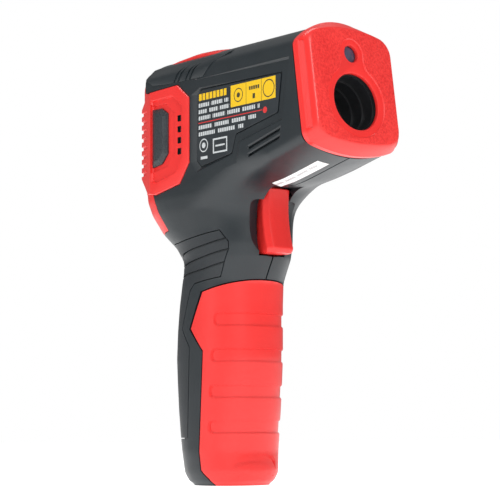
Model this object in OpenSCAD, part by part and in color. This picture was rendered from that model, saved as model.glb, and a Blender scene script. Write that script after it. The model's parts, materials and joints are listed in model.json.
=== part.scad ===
// Pistol-grip infrared thermometer.
// +X is the way it points, +Y is its left side, +Z is up along the grip.
// The origin is on the ground under the middle of the whole object.

/* [Head] */
// Width across the front and rear bezels
head_w = 42; // [41:0.5:44]
// Width across the charcoal body
body_w = 41.2; // [40.6:0.2:42]
// Upward pitch of the sensing barrel, degrees
barrel_pitch = 8; // [7:0.5:9]
// Height of the sensing axis at the front face
nose_z = 129.25; // [128.75:0.25:129.75]
// Highest point of the body's crown
crown_z = 156.8; // [156.4:0.2:157.2]

/* [Optics] */
// Diameter of the sensing hole in the front bezel
lens_hole_d = 19.8; // [19:0.2:20.4]
// Diameter of the laser hole
laser_hole_d = 6; // [5.6:0.2:6.4]
// Height of the laser hole above the sensing axis
laser_rise = 16.9; // [16.5:0.2:17.3]

/* [Grip] */
// Thickness of the moulded walls
wall = 2.2; // [2:0.1:2.3]
// Gap left between two visible pieces
seam = 0.25; // [0.2:0.05:0.3]

/* [Movement] */
// Trigger pull, degrees
pull_deg = 7; // [5:1:7]
// Height of the trigger's pivot
pivot_z = 105.5; // [105.3:0.1:105.7]
// Distance that each key goes in
key_travel = 0.8; // [0.6:0.1:0.8]

/* [Hidden] */
$fn = 48;

charcoal = [0.16, 0.17, 0.18];
red = [0.85, 0.13, 0.12];
half = head_w / 2;
side = body_w / 2;
big = 200;

// ---- outlines -------------------------------------------------------------

function spow(v, e) = sign(v) * pow(abs(v), e);

// Crowned cap of half width w: a wide arc of radius r between two corners of radius c.
function cap(w, top, r, c, up) =
    let (mid = top - up * r, h = sqrt(pow(r - c, 2) - pow(w - c, 2)), phi = atan2(h, w - c))
    concat(
        [for (i = [0:4]) [w - c + c * cos(phi * i / 4), mid + up * (h + c * sin(phi * i / 4))]],
        [for (i = [1:9]) let (a = phi + (180 - 2 * phi) * i / 10) [r * cos(a), mid + up * r * sin(a)]],
        [for (i = [4:-1:0]) [c - w - c * cos(phi * i / 4), mid + up * (h + c * sin(phi * i / 4))]]);

function reversed(list) = [for (i = [len(list) - 1:-1:0]) list[i]];

// Closed outline with a crowned top and a crowned bottom.
function barrel_outline(w, top, bottom, r_top, c_top, r_bottom, c_bottom) =
    concat(cap(w, top, r_top, c_top, 1), reversed(cap(w, bottom, r_bottom, c_bottom, -1)));

// Ellipse with squarer shoulders, as a ring of points at height z.
ring_n = 40;
function ring(z, back, front, w, square, d) =
    [for (i = [0:ring_n - 1]) let (a = 360 * (i + 0.5) / ring_n)
        [(back + front) / 2 + spow(cos(a), 2 / square) * ((front - back) / 2 - d),
         spow(sin(a), 2 / square) * (w - d), z]];

// Stations of the handle: height, back, front, half width, squareness.
stations = [
    [0, -30.5, -7.5, 12.8, 2.3], [1.6, -33, -5.2, 15, 2.3], [4.5, -34.5, -3.8, 16.5, 2.3],
    [12, -35.7, -4, 17, 2.3], [18, -36.9, -3.1, 17, 2.3], [26, -38.3, -1.9, 17, 2.3],
    [36, -39.4, -0.8, 17, 2.3], [45, -40.1, 0, 17, 2.3], [55, -39.4, 0, 17, 2.3],
    [64, -38.1, -0.1, 17, 2.3], [72, -36.3, 0.1, 17, 2.3], [76, -35.6, 2.2, 17, 2.3],
    [80, -35.6, 4.4, 17.2, 2.3], [85, -37, 4.9, 17.8, 2.4], [91, -42, 5.1, 18.7, 2.5],
    [98, -46.2, 5.6, 19.9, 2.9], [103, -48.4, 9, 20.5, 3.4], [106.5, -49.6, 15, 20.6, 4.2]];

// ---- shared forms ---------------------------------------------------------

module lofted(rings) {
    n = len(rings[0]);
    last = len(rings) - 1;
    polyhedron(
        points = [for (r = rings) for (p = r) p],
        faces = concat(
            [[for (i = [0:n - 1]) i]],
            [for (k = [0:last - 1]) for (i = [0:n - 1]) let (j = (i + 1) % n)
                [k * n + i, (k + 1) * n + j, k * n + j]],
            [for (k = [0:last - 1]) for (i = [0:n - 1]) let (j = (i + 1) % n)
                [k * n + i, (k + 1) * n + i, (k + 1) * n + j]],
            [[for (i = [n - 1:-1:0]) last * n + i]]));
}

// The handle, drawn in by d all round.
module grip_form(d = 0) {
    lofted([for (s = stations) ring(s[0], s[1], s[2], s[3], s[4], d)]);
}

// Profile in the side view, through the whole width.
module side_cut(points) {
    rotate([90, 0, 0])
        linear_extrude(big, center = true)
            polygon(points);
}

// Section seen from the front, run along X.
module along_x(x0, x1, points) {
    translate([x0, 0, 0])
        rotate([90, 0, 90])
            linear_extrude(x1 - x0)
                polygon(points);
}

module in_barrel() {
    translate([nose_x, 0, nose_z])
        rotate([0, -barrel_pitch, 0])
            children();
}

module y_rod(x, z, r, y0, y1) {
    translate([x, y0, z])
        rotate([-90, 0, 0])
            cylinder(h = y1 - y0, r = r);
}

module box(x0, x1, y0, y1, z0, z1) {
    translate([x0, y0, z0])
        cube([x1 - x0, y1 - y0, z1 - z0]);
}

module one_side(s) {
    if (s < 0)
        mirror([0, 1, 0]) children();
    else
        children();
}

// ---- head -----------------------------------------------------------------

nose_x = 48.4;
head_back = -43.4;
shell_front = -6.9;
belly_slope = 13.5;
belly_x = 27;
belly_z = 106.3;
crown_r = 29;
ear_seat = 19.3;

module head_form(d = 0) {
    intersection() {
        along_x(head_back, 60, concat(
            cap(side - d, crown_z - d, crown_r - d, 4 - d / 2, 1),
            [[d - side, 80], [side - d, 80]]));
        translate([belly_x, 0, belly_z])
            rotate([0, -belly_slope, 0])
                along_x(-95, 60, concat(
                    [[side - d, 90], [d - side, 90]],
                    reversed(cap(side - d, d, 50, 3, -1))));
        side_cut([[head_back, 104 + d], [15, 104 + d], [50, 108], [50, big], [head_back, big]]);
        in_barrel()
            translate([shell_front - big, -big, -big])
                cube([big, 2 * big, 2 * big]);
    }
}

rail = [[20.9, 144.6], [20.9, 147.2], [16.2, 151.9], [14.6, 152.6], [14, 150], [18, 144.6]];
slot_run = [15.4, 31.8];

module rails_and_slots(s) {
    difference() {
        one_side(s)
            intersection() {
                along_x(-43, -1, rail);
                side_cut([[-44, 148], [-38.6, 144.5], [-8, 144.5], [0, 153], [-44, 153]]);
            }
        for (x = [-25, -20.5, -16])
            translate([x, s * 18, 146])
                rotate([0, 35, 0])
                    cube([0.9, 12, 14], center = true);
    }
}

module recesses(s) {
    one_side(s) {
        // label recess
        translate([0, side + 1, 0])
            rotate([90, 0, 0])
                linear_extrude(2)
                    polygon(label_outline(0));
        for (drop = [0, 2.8])
            translate([slot_run[0], side - 0.7, 114.6 - drop])
                rotate([0, -15.5, 0])
                    cube([16.5 - drop / 4, 2, 1]);
        // seat of the ear frame
        translate([0, side + 1, 0])
            rotate([90, 0, 0])
                linear_extrude(side + 1 - ear_seat)
                    polygon(ear_outline(seam));
    }
}

function label_outline(d) = [[-13.4 + d, 138.1 - d], [-11.1 + d, 139.9 - d], [32.8 - d, 139.3 - d],
    [30.8 - d, 125.7 + d], [8.5 - d, 121.2 + d], [6.3 - d, 114.8 + d], [-11.1 + d, 112 + d],
    [-13.8 + d, 114.4 + d]];

function ear_outline(d) = [[-17.2 + d, 114.5 - d], [-17.2 + d, 137.9 + d], [-24 + d, 143.3 + d],
    [-52, 143.6 + d], [-52, 105.2 - d], [-37.2, 104.7 - d], [-22.8 + d, 107.3 - d]];

// ---- grip details ---------------------------------------------------------

door_axis_x = -9;
door_axis_z = 5;

function door_outline(d) = [[20, 77 + d], [-0.2, 71.9 + d], [-14.6 - d, 68.1 + d],
    [-21 - 1.4 * d, 55.3], [-14.6 - d, 47.3 - d / 2], [-16.5 - d, 12], [-16 - d, 5.6],
    [-13.6 - d, 2.5], [-12.7 - d, -1], [20, -1]];

pad_outline = [[-60, 88], [-4.3, 90], [0.7, 85.4], [0.1, 83.3], [-3.9, 78], [-5, 73.5],
    [-6.7, 72.9], [-18.6, 71.3], [-20.9, 69.6], [-26.8, 55.6], [-22.1, 49], [-22.2, 37.3],
    [-23.4, 16.5], [-60, 16.5]];

tail_outline = [[-60, 107], [-40.2, 107], [-37.1, 98.2], [-32.8, 91.3], [-60, 88.2]];

bay_floor = 14;
battery_x = -29;
battery_t = 17.5;
battery_w = 26.5;
battery_h = 46.5;

// Screw posts: x, z, radius, reach to each side, and where the screw's head sits.
posts = [[-34, 24, 2.8, 8.6, 6.2], [-33.4, 70, 2.4, 8.6, 6.2], [-26, 88, 3, 16.4, 12],
    [31, 112.9, 2.5, 17.4, 13], [16, 151.2, 2.5, 12, 9]];
screw_r = 1.1;
head_r = 2;
screw_tip = -5;
pivot_x = 1.5;
trigger_half = 6.8;

module shell_blank() {
    difference() {
        union() {
            head_form();
            grip_form();
        }
        head_form(wall);
        difference() {
            grip_form(wall);
            box(-60, 20, -30, 30, -1, wall);
        }
        box(-44, 3, -18, 18, 100, 110);
    }
}

// Wells that the screws' heads go down, from the left side.
module screw_holes(r) {
    for (p = posts)
        y_rod(p[0], p[1], r, p[4], 30);
}

module body_half(s) {
    difference() {
        union() {
            difference() {
                intersection() {
                    shell_blank();
                    one_side(s) box(-60, 60, 0, 40, -1, 170);
                }
                recesses(s);
                // the door's place and the tail's place
                side_cut(door_outline(seam));
                side_cut(tail_outline);
            }
            rails_and_slots(s);
            one_side(s) {
                // battery bay: back wall, floor and roof
                box(-31, -29.6, 0, 12, 12.6, 66.5);
                box(-35.5, -10.6, 0, 11, 12.6, 13.9);
                box(-35.4, -7, 0, 11, 65.1, 66.5);
                // web behind the switch
                box(-13.6, -12, 0, 16.8, 84, 96);
                // hinge lug
                box(-11, -7.4, 0, 3.7, door_axis_z, 12.8);
                y_rod(door_axis_x, door_axis_z, 2.3, 0, 3.7);
                // trigger pin posts, trigger spring shelf
                y_rod(pivot_x, pivot_z, 2.6, 4.6, 15);
                box(-8.4, -3.2, 0, 19.5, spring_top, spring_top + 1.6);
                for (p = posts)
                    y_rod(p[0], p[1], p[2], 0, p[3]);
            }
        }
        // the pad's place
        difference() {
            side_cut(pad_outline);
            grip_form(1.2);
        }
        // trigger window
        box(-2.8, 16, -7.15, 7.15, 78.9, 102.5);
        box(-9.5, 4.6, -4.4, 4.4, 100, 109);
        y_rod(pivot_x, pivot_z, 1.02, -9, 9);
        y_rod(door_axis_x, door_axis_z, 1.27, -5, 5);
        // room for the door's lower edge to swing
        difference() {
            y_rod(door_axis_x, door_axis_z, 6.7, -20, 20);
            box(-40, 10, -3.9, 3.9, door_axis_z - 2.4, 20);
        }
        // way through for the leads
        box(-28, -24, -8, 8, 60, 70);
        if (s > 0)
            screw_holes(head_r + 0.1);
        for (p = posts)
            y_rod(p[0], p[1], screw_r + 0.02, screw_tip - 0.5, p[4] + 1);
    }
}

module body_right() {
    color(charcoal) body_half(-1);
}

module body_left() {
    color(charcoal) body_half(1);
}

module grip_pad(s) {
    color([0.13, 0.14, 0.15])
        difference() {
            intersection() {
                grip_form();
                side_cut(pad_outline);
                one_side(s) box(-60, 20, 0, 40, 16.7, 100);
            }
            grip_form(1.2);
            if (s > 0)
                screw_holes(head_r + 0.3);
        }
}

module grip_pad_right() {
    grip_pad(-1);
}

module grip_pad_left() {
    grip_pad(1);
}

// ---- bezels ---------------------------------------------------------------

rim_x = -4.5;

module slice(x, points) {
    along_x(x, x + 0.05, points);
}

module front_bezel() {
    color(red)
        in_barrel()
            difference() {
                union() {
                    hull() {
                        slice(-0.05, barrel_outline(18.4, 25.6, -15, 60, 7, 80, 6.5));
                        slice(-3, barrel_outline(19.8, 27.6, -16.8, 36, 4.5, 60, 5));
                    }
                    hull() {
                        slice(-3, barrel_outline(19.8, 27.6, -16.8, 36, 4.5, 60, 5));
                        slice(rim_x, barrel_outline(half, 29.4, -18, 28, 4, 60, 5));
                    }
                    along_x(rim_x - 2.2, rim_x, barrel_outline(half, 29.4, -18, 28, 4, 60, 5));
                }
                // hollow behind the front wall
                along_x(rim_x - 3, -3, barrel_outline(17.4, 25, -14, 40, 4, 60, 4));
                translate([-5, 0, 0])
                    rotate([0, 90, 0])
                        cylinder(h = 6, d = lens_hole_d);
                translate([-5, 0, laser_rise])
                    rotate([0, 90, 0])
                        cylinder(h = 6, d = laser_hole_d);
            }
}

rear_face = -50.5;
rear_half = 17.2;
ear_inner = ear_seat + 0.05;

module ear(s) {
    one_side(s)
        difference() {
            intersection() {
                translate([0, 0, 100])
                    linear_extrude(50)
                        polygon([[-17.2, half], [-40, half], [rear_face, rear_half],
                            [rear_face, 16.2], [-44, 16.2], [head_back - 0.1, ear_inner],
                            [-17.2, ear_inner]]);
                side_cut(ear_outline(0));
            }
            // window of the insert
            translate([0, 30, 0])
                rotate([90, 0, 0])
                    linear_extrude(20)
                        polygon(insert_outline(0.1));
            for (z = [119.2, 123.2, 127.2, 131.2])
                box(-24.2, -22.4, 20.2, 23, z - 1.1, z + 1.1);
            for (i = [0:7])
                box(-52, -47, 17.8, 23, 112 + 3.4 * i, 113.2 + 3.4 * i);
        }
}

function insert_outline(d) = [[-40.5 - d, 136.6 + d], [-34.4, 136.5 + d], [-31 + d, 134.5 + d / 2],
    [-31 + d, 118.8 - d / 2], [-34.3, 115.5 - d], [-40.5 - d, 114.7 - d]];

board_x = [-43.7, -42.1];
dome_h = 0.6;
key_z = 113.4;
key_y = [9.5, 0, -9.5];
lcd_z = [121.5, 145.2];
board_screw_y = 13;
board_screw_z = [118.6, 147.7];

module rear_bezel() {
    color(red) {
        difference() {
            hull() {
                slice(head_back - 0.15, barrel_outline(20.4, 157.4, 105.2, 28, 4.5, 60, 4));
                slice(rear_face, barrel_outline(rear_half, 156, 106.4, 26, 5, 60, 4));
            }
            along_x(-47.6, -40, barrel_outline(15.9, 154.4, 107.4, 30, 3, 60, 3));
            box(-60, -40, -14.2, 14.2, lcd_z[0] + 0.8, lcd_z[1] - 0.8);
            for (y = key_y)
                box(-60, -40, y - 3.75, y + 3.75, key_z - 2.45, key_z + 2.45);
        }
        // bosses that the board is screwed to
        for (y = [-board_screw_y, board_screw_y], z = board_screw_z)
            translate([-48, y, z])
                rotate([0, 90, 0])
                    difference() {
                        cylinder(h = board_x[0] - 0.02 + 48, r = 1.9);
                        translate([0, 0, 1.6])
                            cylinder(h = 4, r = 1.12);
                    }
        ear(-1);
        ear(1);
        // textured cap along the crown
        difference() {
            intersection() {
                along_x(-49, -9, concat(cap(13, 158.6, crown_r, 1.5, 1), [[-13, 150], [13, 150]]));
                side_cut([[-49, 150], [-5, 150], [-9, 156.9], [-24, 158.2], [-36, 158.6],
                    [-43, 158.4], [-49, 156.4]]);
            }
            along_x(-60, 0, concat(cap(side, crown_z, crown_r, 4, 1), [[-side, 80], [side, 80]]));
        }
        // tail down the back of the neck
        intersection() {
            difference() {
                grip_form();
                grip_form(1.9);
            }
            translate([-seam, 0, seam])
                side_cut(tail_outline);
            box(-60, 0, -30, 30, 88, 106.2);
        }
    }
}

module side_insert(s) {
    color([0.15, 0.16, 0.17])
        one_side(s)
            intersection() {
                box(-41, -30, ear_inner, side, 110, 140);
                side_cut(insert_outline(0));
            }
}

module side_insert_right() {
    side_insert(-1);
}

module side_insert_left() {
    side_insert(1);
}

// ---- battery door ---------------------------------------------------------

module battery_door() {
    color(red)
        difference() {
            union() {
                intersection() {
                    difference() {
                        grip_form();
                        difference() {
                            grip_form(wall);
                            box(-60, 20, -30, 30, -1, 2);
                        }
                    }
                    side_cut(door_outline(0));
                }
                // knuckles, battery ribs and latch block
                for (y = [-8, 4])
                    intersection() {
                        union() {
                            y_rod(door_axis_x, door_axis_z, 2.3, y, y + 4);
                            box(door_axis_x, 0, y, y + 4, door_axis_z - 1.8, door_axis_z + 1.8);
                        }
                        grip_form(wall - 0.4);
                    }
                for (z = [28, 48])
                    intersection() {
                        box(-10.8, 0, -8, 8, z, z + 1.2);
                        grip_form(wall - 0.4);
                    }
                intersection() {
                    box(-6.4, 0, -4, 4, 65.5, 69.5);
                    grip_form(wall - 0.4);
                }
            }
            y_rod(door_axis_x, door_axis_z, 1.27, -9, 9);
        }
}

module door_hinge_pin() {
    color("silver") y_rod(door_axis_x, door_axis_z, 1.25, -7.8, 7.8);
}

// ---- trigger and switch ---------------------------------------------------

trigger_top = 101.6;
trigger_low = 80;
curve_r = 45;
curve_z = 97.5;
curve_x = 7.9;
spring_foot = 105.2;
spring_top = 112;
switch_z = 92;
plunger_x = -8;
// how far the pull pushes the switch in
press = (pivot_z - switch_z) * tan(pull_deg);

function front_curve(z) = curve_x + curve_r - sqrt(pow(curve_r, 2) - pow(z - curve_z, 2));

module trigger() {
    color(red)
        difference() {
            union() {
                intersection() {
                    side_cut(concat(
                        [[1, trigger_top], [1, trigger_low]],
                        [for (i = [0:10])
                            let (z = trigger_low + 0.6 + (trigger_top - trigger_low - 0.6) * i / 10)
                                [front_curve(z), z]]));
                    linear_extrude(130)
                        polygon([[0, -trigger_half], [5.8, -trigger_half], [7.2, -6.2], [9.6, -4.1],
                            [13, -3.2], [13, 3.2], [9.6, 4.1], [7.2, 6.2], [5.8, trigger_half],
                            [0, trigger_half]]);
                }
                // pivot eye, its web and the arm under the spring
                y_rod(pivot_x, pivot_z, 2.4, -4, 4);
                box(-0.6, 3.6, -4, 4, trigger_top - 1, pivot_z);
                box(-7.8, 0.5, -3, 3, pivot_z - 2.2, pivot_z - 0.4);
                // pad that meets the switch
                box(-1.6, 1.5, -3, 3, switch_z - 2.2, switch_z + 2.2);
            }
            y_rod(pivot_x, pivot_z, 1.04, -5, 5);
            // moulded hollow
            box(-1, 5.4, -5, 5, trigger_low + 2, switch_z - 3.4);
        }
}

module trigger_pin() {
    color("silver") y_rod(pivot_x, pivot_z, 1, -8.6, 8.6);
}

module trigger_spring() {
    turns = 5;
    steps = 14;
    wire_r = 0.3;
    coil_r = 1.9;
    rise = spring_top - spring_foot - 2 * wire_r;
    n = turns * steps;
    sides = 6;
    color("silver")
        translate([-5.8, 0, spring_foot + wire_r])
            lofted([for (k = [0:n]) let (a = 360 * k / steps)
                [for (j = [0:sides - 1]) let (b = -360 * j / sides)
                    [(coil_r + wire_r * cos(b)) * cos(a), (coil_r + wire_r * cos(b)) * sin(a),
                     rise * k / n + wire_r * sin(b) * 0.98]]]);
}

module microswitch() {
    color([0.1, 0.1, 0.11])
        difference() {
            box(-11.8, -4.8, -5, 5, switch_z - 4, switch_z + 4);
            translate([plunger_x - press - 0.5, 0, switch_z])
                rotate([0, 90, 0])
                    cylinder(h = 8, r = 1.35);
        }
}

module switch_plunger() {
    color([0.75, 0.1, 0.1])
        translate([plunger_x, 0, switch_z])
            rotate([0, 90, 0])
                cylinder(h = 6.2, r = 1.3);
}

// ---- display, board and keys ----------------------------------------------

module display_window() {
    color([0.55, 0.62, 0.65, 0.6]) box(-49.3, -47.7, -14.1, 14.1, lcd_z[0] + 0.9, lcd_z[1] - 0.9);
}

module lcd_panel() {
    color([0.5, 0.58, 0.5]) box(-46.9, -44.1, -14.6, 14.6, lcd_z[0], lcd_z[1]);
}

module main_board() {
    color([0.05, 0.35, 0.15])
        difference() {
            box(board_x[0], board_x[1], -14.9, 14.9, 110.4, 149.6);
            for (y = [-board_screw_y, board_screw_y], z = board_screw_z)
                translate([board_x[0] - 1, y, z])
                    rotate([0, 90, 0])
                        cylinder(h = 4, r = 1.15);
        }
}

module key(y) {
    color([0.2, 0.2, 0.22]) {
        box(rear_face, board_x[0] - dome_h - key_travel - 0.2, y - 3.6, y + 3.6, key_z - 2.3, key_z + 2.3);
        box(-47.4, -46.6, y - 4.4, y + 4.4, key_z - 3.1, key_z + 3.1);
    }
}

module key_left() {
    key(key_y[0]);
}

module key_middle() {
    key(key_y[1]);
}

module key_right() {
    key(key_y[2]);
}

module key_domes() {
    color("silver")
        for (y = key_y)
            translate([board_x[0], y, key_z])
                rotate([0, -90, 0])
                    cylinder(h = dome_h, r = 2.2);
}

module board_screws() {
    color("silver")
        for (y = [-board_screw_y, board_screw_y], z = board_screw_z)
            translate([board_x[1], y, z])
                rotate([0, 90, 0]) {
                    cylinder(h = 1.2, r = 1.9);
                    translate([0, 0, -3.2])
                        cylinder(h = 3.2, r = 1.1);
                }
}

module buzzer() {
    color([0.08, 0.08, 0.08])
        translate([board_x[1], 10, 128])
            rotate([0, 90, 0])
                difference() {
                    cylinder(h = 4.5, r = 4.8);
                    translate([0, 0, 3])
                        cylinder(h = 2, r = 1);
                }
}

// ---- optics ---------------------------------------------------------------

// Rings inside the sensing barrel: how far in each starts, and its radius.
steps_in = [[3.05, 9.7], [7.6, 9], [12.2, 8.3], [16.8, 7.6], [21.4, 7], [25.2, 5]];
barrel_end = 38;

module lens_barrel() {
    color([0.05, 0.05, 0.05])
        in_barrel()
            rotate([0, -90, 0])
                rotate_extrude($fn = 72)
                    polygon(concat(
                        [for (i = [0:len(steps_in) - 1]) each
                            [[steps_in[i][1], steps_in[i][0]],
                             [steps_in[i][1], i < len(steps_in) - 1 ? steps_in[i + 1][0] : barrel_end]]],
                        [[8.6, barrel_end], [8.6, 26], [11.2, 24], [11.2, 3.05]]));
}

module infrared_lens() {
    color([0.9, 0.92, 0.9, 0.7])
        in_barrel()
            translate([-25.15, 0, 0])
                rotate([0, 90, 0])
                    cylinder(h = 1.1, r = 6.95);
}

module lens_retainer() {
    color([0.12, 0.12, 0.13])
        in_barrel()
            translate([-24, 0, 0])
                rotate([0, 90, 0])
                    difference() {
                        cylinder(h = 1.8, r = 6.95);
                        translate([0, 0, -1])
                            cylinder(h = 4, r = 6);
                    }
}

module sensor_can() {
    color("silver")
        in_barrel()
            translate([-38.1, 0, 0])
                rotate([0, 90, 0]) {
                    cylinder(h = 0.6, r = 4.6);
                    cylinder(h = 4.2, r = 4.1);
                }
}

module sensor_board() {
    color([0.05, 0.35, 0.15])
        in_barrel()
            box(-39.8, -38.15, -8, 8, -8, 8);
}

module laser_module() {
    color([0.8, 0.65, 0.3])
        in_barrel()
            translate([-24, 0, laser_rise])
                rotate([0, 90, 0])
                    difference() {
                        cylinder(h = 19, r = 3);
                        translate([0, 0, 15])
                            cylinder(h = 5, r = 1.8);
                    }
}

module laser_holder() {
    color([0.14, 0.14, 0.15])
        in_barrel()
            difference() {
                box(-20, -11, -5, 5, 11.3, 21.2);
                translate([-21, 0, laser_rise])
                    rotate([0, 90, 0])
                        cylinder(h = 11, r = 3.03);
            }
}

module laser_window() {
    color([0.3, 0.35, 0.5, 0.7])
        in_barrel()
            translate([-2.9, 0, laser_rise])
                rotate([0, 90, 0])
                    cylinder(h = 1, d = laser_hole_d - 0.06);
}

// ---- labels ---------------------------------------------------------------

module label(s) {
    color([0.11, 0.12, 0.13])
        one_side(s)
            translate([0, side - 0.5, 0])
                rotate([90, 0, 0])
                    linear_extrude(0.45)
                        polygon(label_outline(0.5));
}

module label_right() {
    label(-1);
}

module label_left() {
    label(1);
}

module serial_sticker() {
    color("white")
        intersection() {
            translate([belly_x, 0, belly_z])
                rotate([0, -belly_slope, 0])
                    along_x(-16, 9, concat(
                        reversed(cap(side + 0.12, -0.12, 50.12, 3.12, -1)),
                        cap(side, 0, 50, 3, -1)));
            box(0, 60, -8.6, -3.4, 90, 130);
        }
}

// ---- power ----------------------------------------------------------------

module battery() {
    corner = 2.6;
    color([0.75, 0.6, 0.2]) {
        translate([battery_x, 0, bay_floor + 0.1])
            linear_extrude(battery_h)
                union() {
                    translate([0, corner - battery_w / 2])
                        square([battery_t, battery_w - 2 * corner]);
                    translate([corner, -battery_w / 2])
                        square([battery_t - 2 * corner, battery_w]);
                    for (x = [corner, battery_t - corner], y = [-1, 1])
                        translate([x, y * (battery_w / 2 - corner)])
                            circle(corner);
                }
        for (y = [-6.35, 6.35])
            translate([battery_x + battery_t / 2, y, bay_floor + battery_h])
                cylinder(h = 2, r = y < 0 ? 2.8 : 3.6);
    }
}

snap_z = bay_floor + battery_h + 2.15;

module battery_snap() {
    color([0.06, 0.06, 0.06])
        box(-26.8, -13.8, -12, 12, snap_z, snap_z + 1.6);
}

function unit(v) = v / norm(v);

// Way that a route runs at its point i, and the ring of the wire round that point.
function heading(route, i) =
    unit(route[min(i + 1, len(route) - 1)] - route[max(i - 1, 0)]);
function wire_ring(p, way, r) =
    let (side_way = [0, 1, 0], up = cross(way, side_way))
    [for (j = [0:7]) p + r * (cos(45 * j) * side_way + sin(45 * j) * up)];

// Wire along a route that keeps to one Y.
module wire(route, r) {
    lofted([for (i = [0:len(route) - 1]) wire_ring(route[i], heading(route, i), r)]);
}

lead_r = 0.55;

function battery_route(y) = [[-26, y, snap_z + 1.65], [-26, y, 76], [-19, y, 90], [-19, y, 104],
    [-34, y, 113], [-41.9, y, 113]];

module battery_lead_red() {
    color("red") wire(battery_route(2.6), lead_r);
}

module battery_lead_black() {
    color([0.05, 0.05, 0.05]) wire(battery_route(-2.6), lead_r);
}

module switch_leads() {
    color([0.9, 0.9, 0.85])
        for (y = [-1, 1])
            wire([[-10.3, y * 4, switch_z + 4.1], [-10.3, y * 4, 99], [-14.5, y * 4, 108],
                [-34, y * 4, 117], [-41.9, y * 4, 117]], 0.45);
}

module laser_leads() {
    color([0.8, 0.3, 0.2])
        for (y = [-1, 1])
            wire([[22.2, y * 1.2, 142.45], [12, y * 1.2, 142], [-30, y * 1.2, 140],
                [-41.9, y * 1.2, 140]], 0.45);
}

module sensor_leads() {
    color([0.3, 0.4, 0.7])
        for (y = [-3, 0, 3])
            wire([[8.7, y, 123.7], [0, y, 123.2], [-28, y, 128], [-41.9, y, 128]], 0.4);
}

// ---- fasteners ------------------------------------------------------------

module shell_screws() {
    color("silver")
        for (p = posts) {
            y_rod(p[0], p[1], screw_r, screw_tip, p[4] + 0.05);
            y_rod(p[0], p[1], head_r, p[4] + 0.02, p[4] + 1.5);
        }
}

body_right();
body_left();
front_bezel();
rear_bezel();
side_insert_right();
side_insert_left();
grip_pad_right();
grip_pad_left();
battery_door();
door_hinge_pin();
trigger();
trigger_pin();
trigger_spring();
microswitch();
switch_plunger();
display_window();
lcd_panel();
main_board();
key_left();
key_middle();
key_right();
key_domes();
lens_barrel();
infrared_lens();
lens_retainer();
sensor_can();
sensor_board();
laser_module();
laser_holder();
laser_window();
buzzer();
label_right();
label_left();
serial_sticker();
battery();
battery_snap();
battery_lead_red();
battery_lead_black();
switch_leads();
laser_leads();
sensor_leads();
shell_screws();
board_screws();
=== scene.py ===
import json
import math

import bmesh
import bpy
from mathutils import Matrix, Vector, kdtree


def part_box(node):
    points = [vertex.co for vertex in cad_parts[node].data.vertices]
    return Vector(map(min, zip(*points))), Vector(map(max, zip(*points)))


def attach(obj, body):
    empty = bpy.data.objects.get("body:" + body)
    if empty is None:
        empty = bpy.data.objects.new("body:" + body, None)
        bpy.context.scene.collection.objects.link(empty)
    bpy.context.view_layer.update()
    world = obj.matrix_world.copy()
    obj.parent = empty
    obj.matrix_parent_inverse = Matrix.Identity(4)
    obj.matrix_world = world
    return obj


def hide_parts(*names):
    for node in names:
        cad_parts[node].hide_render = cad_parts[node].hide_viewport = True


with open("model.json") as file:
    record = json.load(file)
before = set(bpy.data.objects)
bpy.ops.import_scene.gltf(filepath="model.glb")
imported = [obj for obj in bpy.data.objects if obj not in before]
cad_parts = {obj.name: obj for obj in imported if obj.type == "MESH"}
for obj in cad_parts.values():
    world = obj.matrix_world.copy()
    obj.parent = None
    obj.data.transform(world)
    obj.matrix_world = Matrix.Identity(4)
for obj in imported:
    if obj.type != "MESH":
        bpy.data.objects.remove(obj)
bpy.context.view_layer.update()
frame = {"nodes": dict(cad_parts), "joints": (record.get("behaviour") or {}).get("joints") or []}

MM = 0.001
HOUSING = "housing"

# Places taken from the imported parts, in millimetres.


def corner(node, end, axis):
    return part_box(node)[end][axis] / MM


def middle(node):
    low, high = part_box(node)
    return (low + high) / 2 / MM


LOW, HIGH = 0, 1
X, Y, Z = 0, 1, 2
NOSE_HALF = corner("front_bezel", HIGH, Y)
REAR_X = corner("rear_bezel", LOW, X)
SIDE_Y = 20.6
CROWN_Z = 156.8
NOSE_X, NOSE_Z = 48.4, 129.25
PITCH = math.radians(8)
SHELL_FRONT = -6.9
HEAD_BACK = -43.4
WALL = 2.2
SEAM = 0.25
DOOR_GAP = 0.45
PARTING = 0.28
TONGUE_DEPTH = 1.1
PAD_SEAT = 1.2
VOXEL = 0.8
TRIGGER_HALF = 5.7
LASER_RISE = 16.9
LENS_HOLE, LASER_HOLE = 9.9, 3
HOLE_LAND = -1.5
HINGE = [v / MM for v in next(j for j in frame["joints"] if j["name"] == "door_open")["pos_m"]]


# ---- outlines ---------------------------------------------------------------


def signed_power(v, e):
    return math.copysign(abs(v) ** e, v)


def cap(w, top, r, c, up, fine=1):
    """Crowned cap of half width w: a wide arc of radius r between two corners of radius c."""
    mid = top - up * r
    h = math.sqrt((r - c) ** 2 - (w - c) ** 2)
    phi = math.atan2(h, w - c)
    few, many = 4 * fine, 10 * fine
    corner_arc = [(w - c + c * math.cos(phi * i / few), mid + up * (h + c * math.sin(phi * i / few)))
                  for i in range(few + 1)]
    crown = [(r * math.cos(phi + (math.pi - 2 * phi) * i / many),
              mid + up * r * math.sin(phi + (math.pi - 2 * phi) * i / many)) for i in range(1, many)]
    return corner_arc + crown + [(-y, z) for y, z in reversed(corner_arc)]


def barrel_outline(w, top, bottom, r_top, c_top, r_bottom, c_bottom, fine=1):
    """Closed section with a crowned top and a crowned bottom, as (y, z)."""
    return cap(w, top, r_top, c_top, 1, fine) + cap(w, bottom, r_bottom, c_bottom, -1, fine)[::-1]


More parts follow.
